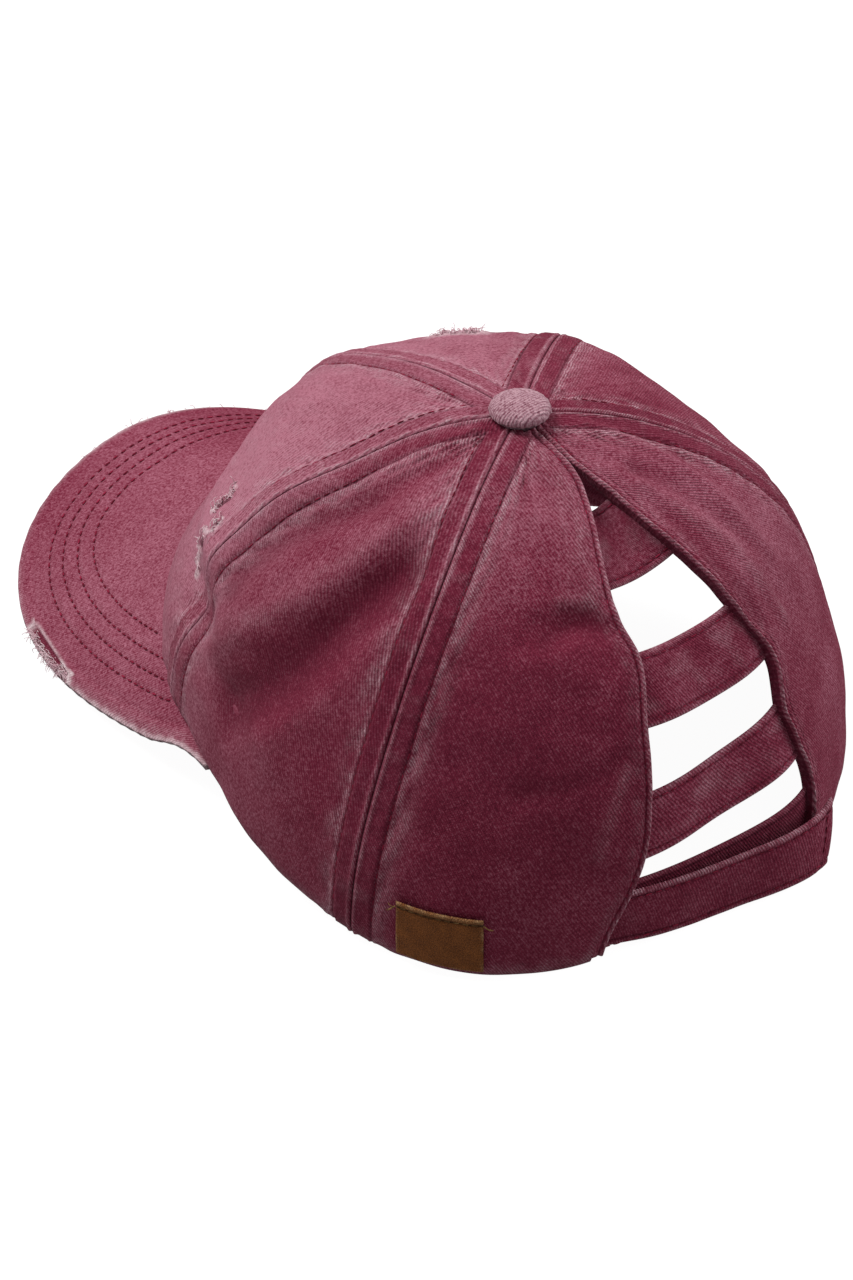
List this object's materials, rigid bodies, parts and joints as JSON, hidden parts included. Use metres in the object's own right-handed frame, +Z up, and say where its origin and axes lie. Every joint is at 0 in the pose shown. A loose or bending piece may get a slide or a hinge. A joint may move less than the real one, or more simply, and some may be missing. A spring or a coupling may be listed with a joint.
{
  "type": "ponytail baseball cap",
  "caption": "Soft six-panel baseball cap with a curved visor, covered top button and a split back crossed by ladder straps and an adjustable closure strap.",
  "frame": {"origin": "on the surface that the cap rests on, under the middle of the whole cap's box", "axes": "+Z up, -Y towards the tip of the visor, +Y out of the split back, +X towards the wearer's left"},
  "size_m": [0.1702, 0.2522, 0.1101],
  "materials": {
    "twill": "matt washed cotton twill, faded along the seams and edges",
    "button_twill": "matt washed cotton twill, faded pale",
    "strap_twill": "matt cotton twill, doubled and topstitched",
    "band_cloth": "matt plain cotton",
    "leather": "matt brown leather with a worn face"
  },
  "bodies": {
    "root": {"panel_front_left": "twill", "panel_front_right": "twill", "panel_side_left": "twill", "panel_side_right": "twill", "panel_back_left": "twill", "panel_back_right": "twill", "hem_left": "twill", "hem_right": "twill", "visor": "twill", "button": "button_twill", "sweatband": "band_cloth", "ladder_strap_1": "strap_twill", "ladder_strap_2": "strap_twill", "ladder_strap_3": "strap_twill", "closure_strap": "strap_twill", "closure_tab": "strap_twill", "leather_patch": "leather"}
  },
  "joints": []
}
